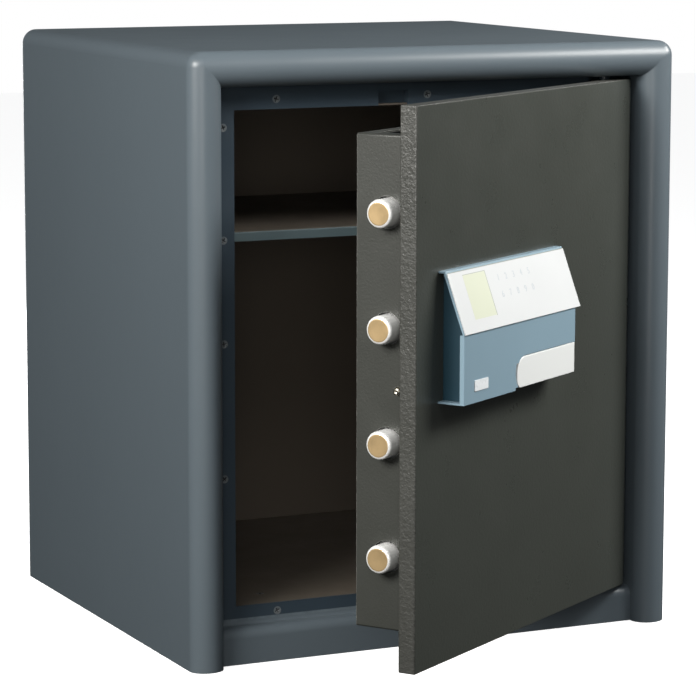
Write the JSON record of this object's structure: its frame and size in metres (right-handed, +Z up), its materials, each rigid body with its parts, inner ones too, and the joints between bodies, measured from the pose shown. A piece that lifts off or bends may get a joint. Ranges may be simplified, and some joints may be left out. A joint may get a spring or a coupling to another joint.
{
  "type": "electronic_safe",
  "caption": "Free-standing electronic safe with its door standing open: chrome side bolts, a keypad unit with a turning lever, and an inner box with one shelf.",
  "frame": {"origin": "on the floor, under the middle of the casing", "axes": "+Z up, front of the safe towards -Y, hinge side towards +X"},
  "size_m": [0.495, 0.6549, 0.56],
  "materials": {
    "casing_paint": "satin",
    "frame_paint": "satin",
    "door_paint": "semi_gloss",
    "unit_housing": "satin",
    "unit_inner": "satin",
    "white_panel": "satin",
    "bolt_chrome": "polished",
    "plain_steel": "satin",
    "zinc_screw": "satin",
    "fill": "matte",
    "board": "satin",
    "badge": "satin",
    "black_plastic": "matte",
    "cell": "gloss"
  },
  "bodies": {
    "carcass": {"outer_casing": "casing_paint", "back_panel": "casing_paint", "base_sill": "casing_paint", "stop_frame": "frame_paint", "hinge_recess": "frame_paint", "inner_box": "frame_paint", "strike_strip": "plain_steel", "fill": "fill", "frame_screws": "zinc_screw", "floor_screws": "zinc_screw", "hinge_pin_top": "plain_steel", "hinge_pin_bottom": "plain_steel", "shelf": "casing_paint", "shelf_studs": "plain_steel"},
    "door": {"door_leaf": "door_paint", "hinge_lug_top": "plain_steel", "hinge_lug_bottom": "plain_steel", "bolt_box": "door_paint", "rear_cover": "door_paint", "cover_screws": "zinc_screw", "bolt_guide": "plain_steel", "carrier_posts": "plain_steel", "solenoid": "plain_steel", "unit_shell": "unit_housing", "unit_body": "unit_inner", "keypad_panel": "white_panel", "circuit_board": "board", "badge": "badge", "pin_holder": "black_plastic", "battery_tray": "black_plastic", "battery_cells": "cell"},
    "boltwork": {"bolts": "bolt_chrome", "bolt_carrier": "plain_steel"},
    "lever_body": {"lever": "white_panel", "spindle": "plain_steel", "crank": "plain_steel"},
    "plunger_body": {"plunger": "plain_steel"},
    "edge_pin_body": {"edge_pin": "plain_steel"}
  },
  "joints": [
    {"name": "door_hinge", "type": "hinge", "parent": "carcass", "child": "door", "pos_m": [0.188, -0.1875, 0.28], "axis": [0, 0, 1], "range_deg": [-33.82, 58.18]},
    {"name": "bolt_slide", "type": "slide", "parent": "door", "child": "boltwork", "axis": [0.8308, 0.5566, 0], "range_m": [0, 0.01572]},
    {"name": "lever_turn", "type": "hinge", "parent": "door", "child": "lever_body", "pos_m": [-0.00188, -0.35684, 0.282], "axis": [-0.5566, 0.8308, 0], "range_deg": [0, 50]},
    {"name": "plunger_drop", "type": "slide", "parent": "door", "child": "plunger_body", "axis": [0, 0, 1], "range_m": [-0.006, 0]},
    {"name": "edge_pin_press", "type": "slide", "parent": "door", "child": "edge_pin_body", "axis": [0.8308, 0.5566, 0], "range_m": [0, 0.0026], "stiffness_N_per_m": 100}
  ],
  "couplings": [
    {"joint": "lever_turn", "follows": "bolt_slide", "rad_per_m": 55.508}
  ]
}
